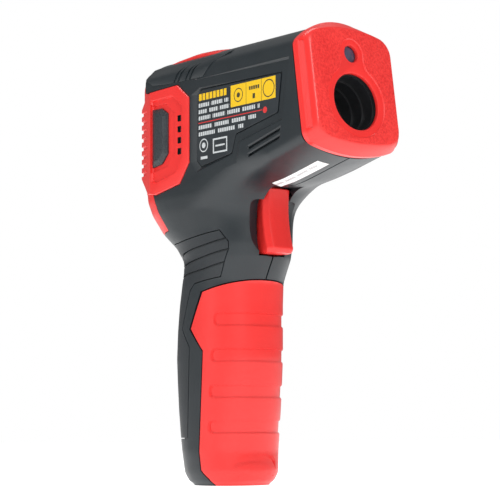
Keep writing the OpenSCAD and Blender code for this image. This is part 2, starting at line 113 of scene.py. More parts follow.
def grown(points, d):
    """The outline moved outwards by d, with its corners kept."""
    area = sum(a[0] * b[1] - b[0] * a[1] for a, b in zip(points, points[1:] + points[:1]))
    turn = 1 if area > 0 else -1
    out = []
    for i, p in enumerate(points):
        a, b = Vector(points[i - 1]), Vector(points[(i + 1) % len(points)])
        p = Vector(p)
        first, second = (p - a).normalized(), (b - p).normalized()
        n1 = Vector((first.y, -first.x)) * turn
        n2 = Vector((second.y, -second.x)) * turn
        out.append(tuple(p + (n1 + n2) * (d / max(0.35, 1 + n1.dot(n2)))))
    return out


def rounded(points, r, steps=4):
    """The outline with each corner turned into an arc that starts r from it."""
    out = []
    for i, p in enumerate(points):
        a, b, p = Vector(points[i - 1]), Vector(points[(i + 1) % len(points)]), Vector(p)
        reach_a = min(r, (a - p).length * 0.48)
        reach_b = min(r, (b - p).length * 0.48)
        start, end = p + (a - p).normalized() * reach_a, p + (b - p).normalized() * reach_b
        for k in range(steps + 1):
            t = k / steps
            out.append(tuple(start * (1 - t) ** 2 + p * (2 * t * (1 - t)) + end * t ** 2))
    return out


# ---- making pieces ------------------------------------------------------------


def pick(*pieces):
    bpy.ops.object.select_all(action="DESELECT")
    for piece in pieces:
        piece.select_set(True)
    bpy.context.view_layer.objects.active = pieces[0]


def take(name):
    piece = bpy.context.active_object
    piece.name = piece.data.name = name
    bpy.ops.object.transform_apply(location=True, rotation=True, scale=True)
    return piece


def edit(piece):
    pick(piece)
    bpy.ops.object.mode_set(mode="EDIT")
    return bmesh.from_edit_mesh(piece.data)


def done(piece):
    bpy.ops.mesh.select_all(action="SELECT")
    bpy.ops.mesh.normals_make_consistent(inside=False)
    bpy.ops.object.mode_set(mode="OBJECT")
    return piece


def loft(name, rings):
    """A closed piece: a flat ring that is extruded from each ring of points to the next."""
    bpy.ops.object.select_all(action="DESELECT")
    bpy.ops.mesh.primitive_circle_add(vertices=len(rings[0]), radius=1, fill_type="NGON")
    piece = take(name)
    for v, p in zip(piece.data.vertices, rings[0]):
        v.co = Vector(p) * MM
    edit(piece)
    bpy.ops.mesh.select_all(action="SELECT")
    for before, after in zip(rings, rings[1:]):
        bpy.ops.mesh.extrude_region_move()
        tree = kdtree.KDTree(len(before))
        for i, p in enumerate(before):
            tree.insert(Vector(p) * MM, i)
        tree.balance()
        mesh = bmesh.from_edit_mesh(piece.data)
        for v in mesh.verts:
            if v.select:
                v.co = Vector(after[tree.find(v.co)[1]]) * MM
        bmesh.update_edit_mesh(piece.data)
    return done(piece)


def prism(name, outline, *walls):
    """A side-view outline (x, z) run across the width; each wall is (y, how much it grows)."""
    return loft(name, [[(x, y, z) for x, z in grown(outline, d)] for y, d in walls])


def through(name, outline):
    """A side-view outline run right through the whole width."""
    return prism(name, outline, (-40, 0), (40, 0))


def run_x(name, outline, x0, x1):
    """A front-view outline (y, z) run along the length."""
    return loft(name, [[(x, y, z) for y, z in outline] for x in (x0, x1)])


def block(name, x0, x1, y0, y1, z0, z1):
    bpy.ops.object.select_all(action="DESELECT")
    bpy.ops.mesh.primitive_cube_add(
        size=1, location=((x0 + x1) / 2 * MM, (y0 + y1) / 2 * MM, (z0 + z1) / 2 * MM),
        scale=((x1 - x0) * MM, (y1 - y0) * MM, (z1 - z0) * MM))
    return take(name)


def rod(name, start, end, r, sides=32):
    """A round rod from one point to another."""
    a, b = Vector(start), Vector(end)
    bpy.ops.object.select_all(action="DESELECT")
    bpy.ops.mesh.primitive_cylinder_add(
        vertices=sides, radius=r * MM, depth=(b - a).length * MM, location=(a + b) / 2 * MM,
        rotation=(b - a).to_track_quat("Z", "Y").to_euler())
    return take(name)


def egg(name, centre, radii, segments=48, rings=32):
    bpy.ops.object.select_all(action="DESELECT")
    bpy.ops.mesh.primitive_uv_sphere_add(
        segments=segments, ring_count=rings, radius=MM,
        location=[c * MM for c in centre], scale=radii)
    return take(name)


def drop(piece):
    bpy.data.objects.remove(piece, do_unlink=True)


def copy(piece, name):
    twin = piece.copy()
    twin.data = piece.data.copy()
    twin.name = twin.data.name = name
    bpy.context.scene.collection.objects.link(twin)
    return twin


def apply(piece, kind, **settings):
    pick(piece)
    step = piece.modifiers.new(kind.lower(), kind)
    for key, value in settings.items():
        setattr(step, key, value)
    bpy.ops.object.modifier_apply(modifier=step.name)
    return piece


def combine(piece, tool, how, keep):
    if not tool.data.polygons:
        raise RuntimeError(f"{tool.name} is empty")
    apply(piece, "BOOLEAN", operation=how, solver="MANIFOLD", object=tool)
    if not piece.data.polygons:
        raise RuntimeError(f"{piece.name} vanished with {tool.name}")
    if not keep:
        drop(tool)
    return piece


def cut(piece, tool, keep=False):
    return combine(piece, tool, "DIFFERENCE", keep)


def trim(piece, tool, keep=False):
    return combine(piece, tool, "INTERSECT", keep)


def fuse(piece, tool, keep=False):
    return combine(piece, tool, "UNION", keep)


def join(piece, *others):
    pick(piece, *others)
    bpy.ops.object.join()
    return piece


def flip(piece):
    """Turns a piece over to the other side, with its faces still outwards."""
    piece.data.transform(Matrix.Scale(-1, 4, Vector((0, 1, 0))))
    edit(piece)
    return done(piece)


def soften(piece, degrees=32):
    pick(piece)
    bpy.ops.object.shade_smooth_by_angle(angle=math.radians(degrees))
    return piece


def bevelled(piece, width, segments=2, angle=35):
    return apply(piece, "BEVEL", width=width * MM, segments=segments, limit_method="ANGLE",
                 angle_limit=math.radians(angle), harden_normals=False)


def barrel_point(xb, y, zb):
    """A point given along the pitched barrel, from the middle of its front face."""
    c, s = math.cos(PITCH), math.sin(PITCH)
    return (NOSE_X + xb * c - zb * s, y, NOSE_Z + xb * s + zb * c)


def in_barrel(outline, xb):
    return [barrel_point(xb, y, z) for y, z in outline]


# ---- the moulded form that the grip pieces are cut from -----------------------

STATIONS = [
    (-2, -30.5, -7.5, 12.8, 2.3), (0, -30.5, -7.5, 12.8, 2.3), (1.6, -33, -5.2, 15, 2.3),
    (4.5, -34.5, -3.8, 16.5, 2.3), (12, -35.7, -4, 17, 2.3), (18, -36.9, -3.1, 17, 2.3),
    (26, -38.3, -1.9, 17, 2.3), (36, -39.4, -0.8, 17, 2.3), (45, -40.1, 0, 17, 2.3),
    (55, -39.4, 0, 17, 2.3), (64, -38.1, -0.1, 17, 2.3), (72, -36.3, 0.1, 17, 2.3),
    (76, -35.6, 2.2, 17, 2.3), (80, -35.6, 4.4, 17.2, 2.3), (85, -38.8, 4.9, 17.8, 2.5),
    (91, -45.2, 5.1, 18.7, 3), (98, -49.3, 5.6, 19.9, 3.6), (103, -50.2, 9, 20.5, 4.4),
    (106.5, -50.3, 15, 20.6, 4.8), (109, -50.3, 17, 20.6, 5)]


def grip_ring(z, back, front, w, square, around=64):
    ring = []
    for i in range(around):
        a = 2 * math.pi * (i + 0.5) / around
        e = square if math.cos(a) < 0 else min(square, 2.45 + max(0.0, z - 99) * 0.3)
        ring.append(((back + front) / 2 + signed_power(math.cos(a), 2 / e) * (front - back) / 2,
                     signed_power(math.sin(a), 2 / e) * w, z))
    return ring


def head_ring(t, reach=6):
    """Section of the head, from its back (t = 0) to its slanted front (t = 1)."""
    def along(z):
        front = NOSE_X + (SHELL_FRONT + reach - (z - NOSE_Z) * math.sin(PITCH)) / math.cos(PITCH)
        return HEAD_BACK - reach + t * (front - HEAD_BACK + reach)
    bottom = 104
    for _ in range(3):
        bottom = max(104, 106.3 + (along(bottom) - 27) * math.tan(math.radians(13.5)))
    return [(along(z), y, z)
            for y, z in barrel_outline(SIDE_Y, CROWN_Z, bottom, 29, 4, 50, 3, fine=2)]


blank = loft("blank", [grip_ring(*s) for s in STATIONS])
head = loft("head", [head_ring(t / 12) for t in range(13)])
join(blank, head)
apply(blank, "REMESH", mode="VOXEL", voxel_size=VOXEL * MM, use_smooth_shade=True)
around_neck = blank.vertex_groups.new(name="neck")
for v in blank.data.vertices:
    away = math.hypot(v.co.x / MM - 9, (v.co.z / MM - 103) * 1.1)
    around_neck.add([v.index], max(0.0, min(1.0, (19 - away) / 10)), "REPLACE")
apply(blank, "SMOOTH", factor=0.8, iterations=110, vertex_group="neck")
apply(blank, "SMOOTH", factor=0.5, iterations=4)
# finger scoop round the trigger
cut(blank, egg("scoop", (5.2, 0, 90.9), (3, 14.5, 11.4), 64, 48))


def skin_tool(name, depth):
    """The form drawn in by depth, to cut a wall or a recess that follows it."""
    tool = copy(blank, name)
    return apply(tool, "DISPLACE", strength=-depth * MM, mid_level=0)


def engrave(piece, tool, depth):
    """Cuts a tool into a piece, but no deeper than depth below the moulded form."""
    cut(tool, skin_tool("depth", depth))
    return cut(piece, tool)


inner = skin_tool("inner", WALL)
cut(inner, block("floor", -60, 20, -30, 30, -5, WALL))

DOOR = [(20, 77), (-0.2, 71.9), (-14.6, 68.1), (-21, 55.3), (-14.6, 47.3), (-16.5, 12),
        (-16, 5.6), (-13.6, 2.5), (-12.7, -1), (20, -1)]
PAD = [(-60, 86.5), (-28, 86.7), (-11.4, 88.8), (-5.3, 89.6), (-2.3, 85.4), (-2.5, 82.6), (-4.6, 78.2),
       (-6.9, 73), (-18.8, 71.2), (-21.4, 69), (-26.9, 55.6), (-21.8, 48.9), (-22.3, 37.3),
       (-23, 16.5), (-60, 16.5)]
TAIL = [(-60, 107), (-40.2, 107), (-37.1, 98.2), (-32.8, 91.3), (-60, 88.2)]
LABEL = [(-13.4, 138.1), (-11.1, 139.9), (32.8, 139.3), (30.8, 125.7), (8.5, 121.2), (6.3, 114.8),
         (-11.1, 112), (-13.8, 114.4)]
PANEL = [(-14, 144.2), (37.2, 143.7), (33.4, 123), (10.7, 118.1), (8.4, 106.6), (-14, 104)]
EAR = [(-40, 142.9), (-24, 143.3), (-17.2, 137.9), (-17.2, 114.5), (-22.8, 107.3), (-37.2, 104.7),
       (-40, 105.1), (-43, 105.6), (-50.4, 112), (-50.4, 138.2), (-43, 143)]


# ---- body shells ----------------------------------------------------------------


def nose_plane_tool():
    ring = [(-60, -60), (60, -60), (60, 60), (-60, 60)]
    return loft("nose_plane", [in_barrel(ring, SHELL_FRONT), in_barrel(ring, 40)])


def build_body(side):
    """One shell of the housing. side is -1 on the right and 1 on the left."""
    shell = copy(blank, "shell_left" if side > 0 else "shell_right")
    cut(shell, inner, keep=True)
    # the right shell carries a tongue that closes the parting line below its surface
    low, high = (PARTING, 40) if side > 0 else (-40, PARTING - 0.02)
    trim(shell, block("side", HEAD_BACK, 70, low, high, 0, 170))
    if side < 0:
        engrave(shell, block("parting", -70, 80, -PARTING, 2, -5, 175), TONGUE_DEPTH)
    cut(shell, nose_plane_tool())
    # the door's gap is widest at its upper rear corners
    gap = grown(DOOR, DOOR_GAP)
    gap[3] = (gap[3][0] - 0.5, gap[3][1])
    gap[2] = (gap[2][0] - 0.7, gap[2][1] - 0.1)
    cut(shell, through("door_place", gap))
    engrave(shell, through("pad_place", PAD), PAD_SEAT)
    cut(shell, through("tail_place", TAIL))
    # sloping panel, label recess, slots and ear seat
    def faced(x, deep):
        return side * (SIDE_Y - deep * (x + 14) / 51)
    panel = loft("panel", [[(x, faced(x, 0.95), z) for x, z in grown(PANEL, -0.6)],
                           [(x, faced(x, -0.6), z) for x, z in grown(PANEL, 0.6)],
                           [(x, side * 23, z) for x, z in grown(PANEL, 0.6)]])
    cut(shell, panel)
    wide = grown(LABEL, 0.6)
    wide = [(x - (2.1 if x < -9 and z < 139 else 0), z - (1.2 if z < 113 else 0)) for x, z in wide]
    recess = loft("recess", [[(x, side * (SIDE_Y - 1.2), z) for x, z in LABEL],
                             [(x, side * (SIDE_Y - 0.95), z) for x, z in grown(LABEL, 0.05)],
                             [(x, side * (SIDE_Y + 0.05), z) for x, z in wide],
                             [(x, side * 23, z) for x, z in wide]])
    cut(shell, recess)
    slot_slope = 0.268
    for x0, x1, z0 in ((15.5, 31.8, 115.1), (15.4, 31.6, 112.5)):
        rise = (x1 - x0) * slot_slope
        outline = [(x0, z0), (x1, z0 + rise), (x1 + 0.3, z0 + rise + 0.8), (x0, z0 + 0.8)]
        cut(shell, prism("slot", outline, (side * (SIDE_Y - 1.6), 0), (side * (SIDE_Y - 0.5), 0.05),
                         (side * (SIDE_Y + 0.1), 0.6), (side * 23, 0.6)))
    cut(shell, prism("ear_place", grown(EAR, SEAM), (side * 19.25, 0), (side * 24, 0)))
    if side > 0:
        for x, z, seat in ((-26, 88, 12), (31, 112.9, 13), (16, 151.2, 9)):
            cut(shell, rod("well", (x, seat, z), (x, 30, z), 2.1))
    # battery bay, web and hinge lug inside
    ribs = [block("bay_back", -31, -29.6, 0.2, 12, 12.6, 66.5),
            block("bay_floor", -35, -10.6, 0.2, 11, 12.6, 13.9),
            block("bay_roof", -35, -7, 0.2, 11, 65.1, 66.5),
            block("web", -13.6, -12, 0.2, 16.6, 84, 96),
            block("lug", -11, -7.4, 0.2, 3.7, HINGE[2], 12.8),
            rod("lug_eye", (HINGE[0], 0.2, HINGE[2]), (HINGE[0], 3.7, HINGE[2]), 2.3)]
    for rib in ribs:
        bevelled(rib, 0.2, 1)
        trim(rib, skin_tool("rib_skin", 1.4))
        if side < 0:
            flip(rib)
    # lip behind the upper edge of the door
    lip = cut(skin_tool("lip", WALL + 0.05), skin_tool("lip_back", WALL + 1.1))
    trim(lip, through("lip_reach", grown(DOOR, 1.6)))
    cut(lip, through("lip_edge", grown(DOOR, -1.4)))
    ribs.append(trim(lip, block("lip_half", -60, 30, *sorted((side * 0.02, side * 40)), 42, 80)))
    window_half = TRIGGER_HALF + SEAM
    cut(shell, block("trigger_place", -2.8, 16, -window_half, window_half, 80.35, 104.4))
    join(shell, *ribs)
    return shell


RAIL = [(20.95, 144), (20.95, 147.4), (20.3, 148.5), (16.6, 152.1), (14.6, 153), (13.2, 150.6), (18, 144)]
RAIL_SIDE = [(-45, 149), (-43.4, 148), (-38.6, 145.2), (-26, 144.3), (-9, 144.1), (-5, 148), (1.6, 151.9),
             (1, 153.4), (-45, 153.6)]


def build_rail(side):
    """Dark rail along the upper edge, with diagonal grooves."""
    rail = run_x("rail", [(side * y, z) for y, z in RAIL], -43.2, 1.5)
    trim(rail, through("rail_profile", RAIL_SIDE))
    bevelled(rail, 0.3, 2, 25)
    for x in (-24, -21.6, -17.2, -14.8):
        groove = [(x - 2.9, 143), (x - 2.1, 143), (x + 3.6, 151), (x + 2.8, 151)]
        cut(rail, prism("groove", groove, (side * 18.9, 0), (side * 20.6, 0.1), (side * 22, 0.35)))
    return rail


for side in (-1, 1):
    shell = build_body(side)
    join(shell, build_rail(side))
    soften(shell)
    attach(shell, HOUSING)
    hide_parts("body_left" if side > 0 else "body_right")


# ---- grip pads and battery door -------------------------------------------------

GROOVES = [[(-38, 80.8), (-27, 82), (-19.1, 83.4), (-12.1, 84.4), (-2.6, 86.3)],
           [(-38, 76.8), (-27, 78.1), (-18.5, 79.4), (-12.1, 80.5), (-2.2, 82.5)],
           [(-38, 72.6), (-27.3, 74.4), (-18.6, 75.3), (-13.5, 76), (-4.9, 77.9)]]

pads = []
for side in (-1, 1):
    pad = copy(blank, "pad_left" if side > 0 else "pad_right")
    trim(pad, through("pad_edge", grown(PAD, -0.32)))
    low, high = sorted((side * PARTING, side * 40))
    trim(pad, block("half", -60, 20, low, high, 0, 120))
    cut(pad, skin_tool("pad_back", 1.15))
    # curved grooves across the back of the neck
    for line in GROOVES:
        engrave(pad, through("groove", line + [(x, z + 0.55) for x, z in reversed(line)]), 0.85)
        short = line[:-1] + [(line[-1][0] - 1.2, line[-1][1] - 0.25)]
        eased = [(x, z - 0.3) for x, z in short] + [(x, z + 0.5) for x, z in reversed(short)]
        engrave(pad, through("eased_edge", eased), 0.22)
    if side > 0:
        for x, z in ((-34, 24), (-33.4, 70)):
            cut(pad, rod("well", (x, 5, z), (x, 30, z), 2.3))
    soften(pad)
    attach(pad, HOUSING)
    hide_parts("grip_pad_left" if side > 0 else "grip_pad_right")
    pads.append(pad)


def build_door():
    door = copy(blank, "door")
    trim(door, block("above_ground", -60, 30, -40, 40, 0, 90))
    trim(door, through("door_edge", DOOR))
    cut(door, inner, keep=True)
    for x0, z0, z1 in ((-9.6, 56.2, 60.2), (-10.8, 43.6, 47.6), (-11.7, 31, 35), (-12.2, 18.6, 22.6)):
        outline = rounded([(x0, z0), (20, z0), (20, z1), (x0, z1)], 1.6, 5)
        for grow, deep in ((0, 0.55), (0.25, 0.3), (0.5, 0.1)):
            engrave(door, through("band", grown(outline, grow)), deep)
    # crescent dip at the foot
    arch = [math.pi * i / 16 for i in range(17)]
    crescent = [(8.6 * math.cos(a) - 0.4, 7.4 + 3.4 * math.sin(a)) for a in arch]
    crescent += [(8.6 * math.cos(a) - 0.4, 7.3 + 1.2 * math.sin(a)) for a in reversed(arch[1:-1])]
    for grow, deep in ((0, 0.45), (0.35, 0.3), (0.7, 0.17), (1.1, 0.07)):
        engrave(door, run_x("dip", grown(crescent, grow), -13, 10), deep)
    hinge_x, _, hinge_z = HINGE
    for y in (-8, 4):
        knuckle = rod("knuckle", (hinge_x, y, hinge_z), (hinge_x, y + 4, hinge_z), 2.3)
        fuse(knuckle, block("arm", hinge_x, -5.6, y, y + 4, hinge_z - 1.8, hinge_z + 1.8))
        cut(knuckle, rod("pin_hole", (hinge_x, -10, hinge_z), (hinge_x, 10, hinge_z), 1.27))
        join(door, knuckle)
    for z in (28, 48):
        rest = trim(block("rest", -10.8, -1, -8, 8, z, z + 1.2), skin_tool("rest_skin", 1.6))
        join(door, bevelled(rest, 0.2, 1))
    join(door, bevelled(block("latch", -6.4, -1.9, -4, 4, 65.5, 69.5), 0.3, 2))
    return soften(door)


door = build_door()
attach(door, "battery_door")
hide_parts("battery_door")


# ---- front bezel ------------------------------------------------------------------

BEZEL_SECTIONS = [
    (-6.7, 20.35, 28.95, -17.6, 28, 4, 60, 5), (-6.4, 20.7, 29.3, -17.9, 28, 4, 60, 5),
    (-4.6, 20.7, 29.3, -17.9, 28, 4, 60, 5), (-4.3, 20.45, 29.05, -17.7, 28.5, 4, 60, 5),
    (-2.4, 19.9, 27.7, -16.9, 36, 4.5, 60, 5), (-1.1, 19.2, 26.6, -15.9, 48, 5.6, 70, 5.8),
    (-0.5, 18.75, 26.1, -15.4, 54, 6.4, 75, 6.2), (-0.14, 18.35, 25.6, -15, 58, 6.8, 78, 6.4),
    (0, 17.9, 25.15, -14.6, 60, 7, 80, 6.5)]


def keyhole(lens_r, laser_r, laser_z, blend_r):
    """Outline round the lens and the laser, with a smooth waist between them."""
    a, b = lens_r + blend_r, laser_r + blend_r
    cz = (a * a - b * b + laser_z ** 2) / (2 * laser_z)
    cy = math.sqrt(a * a - cz * cz)
    low, high = math.atan2(cz, cy), math.atan2(cz - laser_z, cy)
    right = []
    for i in range(25):
        t = -math.pi / 2 + (low + math.pi / 2) * i / 24
        right.append((lens_r * math.cos(t), lens_r * math.sin(t)))
    start, end = low - math.pi, high - math.pi
    for i in range(1, 8):
        t = start + (end - start) * i / 8
        right.append((cy + blend_r * math.cos(t), cz + blend_r * math.sin(t)))
    for i in range(13):
        t = high + (math.pi / 2 - high) * i / 12
        right.append((laser_r * math.cos(t), laser_z + laser_r * math.sin(t)))
    return right + [(-y, z) for y, z in reversed(right[1:-1])]


def build_front_bezel():
    bezel = loft("bezel_front", [in_barrel(barrel_outline(*s[1:], fine=3), s[0]) for s in BEZEL_SECTIONS])
    hollow = barrel_outline(17.4, 25, -14, 40, 4, 60, 4)
    cut(bezel, loft("hollow", [in_barrel(hollow, -8), in_barrel(hollow, -3)]))
    rings = [(-0.28, 0), (-0.2, 0.08), (0.12, 0.42), (1, 0.42)]
    cut(bezel, loft("ring_groove", [in_barrel(keyhole(12.5 + d, 5 + d, LASER_RISE, 6 - d), x)
                                    for x, d in rings]))
    def hole(r, z, chamfer):
        ring = [(math.cos(2 * math.pi * i / 72), math.sin(2 * math.pi * i / 72)) for i in range(72)]
        steps = [(-6, r + 0.3), (HOLE_LAND, r + 0.3), (HOLE_LAND, r), (-0.28 - chamfer, r),
                 (-0.28 - 0.3 * chamfer, r + 0.35 * chamfer), (-0.27, r + chamfer), (2, r + chamfer)]
        return loft("hole", [in_barrel([(y * k, z + w * k) for y, w in ring], x) for x, k in steps])
    cut(bezel, hole(LENS_HOLE, 0, 0.45))
    cut(bezel, hole(LASER_HOLE, LASER_RISE, 0.35))
    # shallow recessed band along each side; its faces are given a darker red as painted shade further down
    for side in (-1, 1):
        band = [(-3.9, -10.2), (-2.2, -10.6), (-2.2, 19.6), (-3.9, 20.2)]
        walls = ((-0.15, 0), (0.55, 0.35), (3, 0.35))
        cut(bezel, loft("band", [[barrel_point(x, side * (19.8 + out - 0.3 * (x + 3.9)), z)
                                  for x, z in grown(band, grow)] for out, grow in walls]))
    return soften(bezel, 28)


bezel = build_front_bezel()
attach(bezel, HOUSING)
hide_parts("front_bezel")


# ---- rear bezel: hood, ears, crown cap and tail --------------------------------------

LCD_LOW, LCD_HIGH = corner("lcd_panel", LOW, Z), corner("lcd_panel", HIGH, Z)
KEYS = ["key_left", "key_middle", "key_right"]


def ear_face(x):
    """Outer surface of the ear: flat, then turned inwards behind the fold."""
    return NOSE_HALF - max(0.0, -40 - x) * 0.362


def build_ear():
    ear = prism("ear", EAR, (15.8, 0), (24, 0))
    beyond = [(-10, NOSE_HALF), (-40, NOSE_HALF), (-56, ear_face(-56)), (-56, 30), (-10, 30)]
    cut(ear, loft("ear_side", [[(x, y, z) for x, y in beyond] for z in (90, 160)]))
    cut(ear, block("ear_root", -43.5, -10, 10, 19.35, 90, 160))
    bevelled(ear, 0.75, 1, 30)
    bevelled(ear, 0.14, 2, 16)
    # stepped window round the insert, with its grip holes and the notches behind it
    window = [(-39.2, 139.2), (-26.9, 139.5), (-21.5, 135.3), (-21.5, 117), (-25.4, 111.9),
              (-36.4, 109.5), (-39.2, 109.9)]
    cut(ear, prism("step_1", window, (20.15, 0), (NOSE_HALF - 0.15, 0.35), (NOSE_HALF + 0.1, 0.6),
                   (24, 0.6)))
    inside = [(-39.4, 137.6), (-31.6, 137.5), (-26.4, 133.4), (-26.4, 119), (-31, 114.6), (-39.4, 113.4)]
    cut(ear, prism("step_2", inside, (19.5, 0), (20.1, 0.25), (20.25, 0.5), (24, 0.5)))
    for z in (119.2, 123.2, 127.2, 131.2):
        cut(ear, bevelled(block("grip_hole", -24.6, -22.5, 18, 24, z - 1.15, z + 1.15), 0.2, 2))
    notch = [(-51, ear_face(-51) - 0.9), (-44.2, ear_face(-44.2) - 0.9), (-43.2, 24), (-51, 24)]
    for i in range(8):
        foot = 113 + 3.2 * i
        tool = loft("notch", [[(x, y, z) for x, y in notch] for z in (foot, foot + 1.5)])
        cut(ear, bevelled(tool, 0.3, 2))
    return ear


def pill(y, z, half_y, half_z):
    """Front-view outline of a key or of its hole."""
    return rounded([(y - half_y, z - half_z), (y + half_y, z - half_z), (y + half_y, z + half_z),
                    (y - half_y, z + half_z)], 1.2)


def build_hood():
    sections = [(HEAD_BACK - 0.15, 19.6, 156.6, 105.2, 28, 7, 60, 4),
                (-44.4, 18.8, 156.2, 105.4, 28, 7.5, 60, 4), (-47, 17.4, 155.7, 105.9, 27, 8, 60, 4),
                (-49.4, 16.5, 155.1, 106.3, 26, 8, 60, 4), (-50.2, 16, 154.6, 107, 26, 8, 60, 4),
                (REAR_X, 15.4, 154, 107.6, 26, 8, 60, 4)]
    hood = loft("bezel_rear", [[(s[0], y, z) for y, z in barrel_outline(*s[1:], fine=2)] for s in sections])
    hollow = barrel_outline(14.9, 153, 107.6, 30, 5, 60, 3)
    cut(hood, run_x("hollow", hollow, -47.6, -40))
    opening = rounded([(-14.2, LCD_LOW + 0.8), (14.2, LCD_LOW + 0.8), (14.2, LCD_HIGH - 0.8),
                       (-14.2, LCD_HIGH - 0.8)], 1.6)
    cut(hood, loft("screen_hole", [[(x, y, z) for y, z in grown(opening, d)] for x, d in
                                   ((-40, 0), (-49.2, 0), (-50.6, 1.3), (-52, 1.3))]))
    for name in KEYS:
        _, y, z = middle(name)
        hole = pill(y, z, 3.75, 2.45)
        cut(hood, loft("key_hole", [[(x, a, b) for a, b in grown(hole, d)] for x, d in
                                    ((-40, 0), (-50.1, 0), (-50.6, 0.4), (-52, 0.4))]))
    return hood


def build_crown_cap():
    """Cap along the crown, with crossed grooves."""
    profile = [(-48.6, 155.4), (-44, 156.2), (-38, 156.9), (-34.5, 157.3), (-30.3, 157.6), (-24.4, 158),
               (-18.5, 157.8), (-12.7, 157.2), (-9.2, 156.5)]
    def section(x, top, lift):
        return [(x, y, z) for y, z in cap(12.6, top - lift, 29, 1.5, 1)] + [(x, -12.6, 150), (x, 12.6, 150)]
    crown = loft("crown", [section(x, top, 0) for x, top in profile])
    core = loft("core", [section(x, top, 0.4) for x, top in [(-60, 156.5)] + profile[1:-1] + [(-4, 156)]])
    hatch = None
    for turn in (-1, 1):
        for i in range(-14, 10):
            x = -24 + i * 2.1
            bar = loft("bar", [[(x + turn * y - 0.3, y, 150), (x + turn * y + 0.3, y, 150),
                                (x + turn * y + 0.3, y, 165), (x + turn * y - 0.3, y, 165)]
                               for y in (-14, 14)])
            hatch = bar if hatch is None else fuse(hatch, bar)
    trim(hatch, block("inside", -46.5, -12, -11.6, 11.6, 150, 170))
    cut(hatch, core)
    cut(crown, hatch)
    cut(crown, blank, keep=True)
    return crown


hood = build_hood()
ear = build_ear()
tail = copy(blank, "tail")
trim(tail, through("tail_edge", [(x - SEAM, z + SEAM) for x, z in TAIL]))
trim(tail, block("low", -60, 0, -30, 30, 80, 106.4))
cut(tail, skin_tool("tail_back", 1.9))
join(hood, ear, flip(copy(ear, "ear_left")), build_crown_cap(), tail)
soften(hood, 28)
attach(hood, HOUSING)
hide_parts("rear_bezel")

INSERT = [(-39.8, 136.4), (-34.2, 136.3), (-30.7, 134), (-30.7, 119.2), (-34.1, 115.8), (-39.8, 114.9)]


def build_insert(name, side):
    """Grip insert: a chamfered block whose back falls away behind a ridge."""
    insert = prism(name, INSERT, (19.3, 0), (20.1, 0), (21.05, -1.9))
    fall = [(-37.2, 21.1), (-41, 19.75), (-41, 23), (-37.2, 23)]
    cut(insert, loft("fall", [[(x, y, z) for x, y in fall] for z in (110, 140)]))
    bevelled(insert, 0.14, 2, 12)
    if side < 0:
        flip(insert)
    return soften(insert, 25)


inserts = []
for name, side in (("insert_right", -1), ("insert_left", 1)):
    insert = build_insert(name, side)
    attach(insert, HOUSING)
    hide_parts("side_" + name)
    inserts.append(insert)


# ---- trigger -------------------------------------------------------------------------


def build_trigger():
    """Trigger with a hollow finger face, its pivot eye, spring arm and switch pad."""
    curve_r, curve_z, curve_x = 45, 97.5, 7.9
    half = TRIGGER_HALF

    def section(z, lead, half):
        front = curve_x + curve_r - math.sqrt(curve_r ** 2 - (z - curve_z) ** 2) + lead
        side = [(1, half - 1.3), (front - 3.3, half - 1.3), (front - 3.1, half - 0.1), (front - 2.3, half),
                (front - 0.75, half - 0.85), (front - 0.35, half - 1.15), (front, half - 1.9),
                (front + 0.1, half - 3.6)]
        return [(x, y, z) for x, y in side] + [(x, -y, z) for x, y in reversed(side)]

    rings = [section(104, -0.4, half - 0.3), section(103.6, 0, half)]
    rings += [section(z, 0, half) for z in (101.6, 99.6, 97.6, 95.6, 93.4, 91, 88.6, 86.6, 85, 83.9, 83.2)]
    rings += [section(82.7, -0.15, half), section(81.8, -0.7, half - 0.1), section(81.2, -1.3, half - 0.4),
              section(80.95, -2.2, half - 0.9)]
    trigger = loft("trigger_body", rings)
    cut(trigger, block("hollow", -1, 4, -3.4, 3.4, 82.6, 88.6))
    px, _, pz = middle("trigger_pin")
    eye = rod("eye", (px, -4, pz), (px, 4, pz), 2.4)
    fuse(eye, block("neck", -0.6, 3.6, -4, 4, 100.6, pz))
    fuse(eye, block("arm", -7.8, 0.5, -3, 3, pz - 2.2, pz - 0.4))
    cut(eye, rod("pin_hole", (px, -6, pz), (px, 6, pz), 1.04))
    join(trigger, eye, bevelled(block("pad", -1.6, 1.5, -3, 3, 89.8, 94.2), 0.2, 1))
    return soften(trigger, 26)


trigger = build_trigger()
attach(trigger, "trigger")
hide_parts("trigger")


# ---- keys, labels and sticker ------------------------------------------------------------


def build_key(node, name):
    low, high = (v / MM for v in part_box(node))
    y, z = (low.y + high.y) / 2, (low.z + high.z) / 2
    face = pill(y, z, 3.6, 2.3)
    steps = ((high.x, 0), (low.x + 0.5, 0), (low.x + 0.15, -0.15), (low.x, -0.55))
    key = loft(name, [[(x, a, b) for a, b in grown(face, d)] for x, d in steps])
    cut(key, egg("dish", (low.x - 5.6, y, z), (5.9, 6.5, 4.4), 32, 20))
    flange = block("flange", high.x - 2.1, high.x - 1.3, y - 4.4, y + 4.4, z - 3.1, z + 3.1)
    join(key, bevelled(flange, 0.15, 1))
    return soften(key)


keys = []
for node in KEYS:
    key = build_key(node, node.replace("key", "button"))
    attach(key, node)
    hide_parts(node)
    keys.append(key)

labels = []
for name, side in (("plate_right", -1), ("plate_left", 1)):
    plate = prism(name, rounded(grown(LABEL, -0.35), 0.7), (side * (SIDE_Y - 0.95), 0),
                  (side * (SIDE_Y - 0.66), 0), (side * (SIDE_Y - 0.6), -0.08))
    soften(plate)
    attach(plate, HOUSING)
    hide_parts("label_left" if side > 0 else "label_right")
    labels.append(plate)

sticker = skin_tool("sticker", -0.1)
strip = [(14, -8.4), (37.6, -8.4), (37.6, -3.2), (12.9, -3.4)]
trim(sticker, loft("strip", [[(x, y, z) for x, y in strip] for z in (96, 112)]))
cut(sticker, blank, keep=True)
soften(sticker)
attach(sticker, HOUSING)
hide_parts("serial_sticker")

drop(blank)
drop(inner)


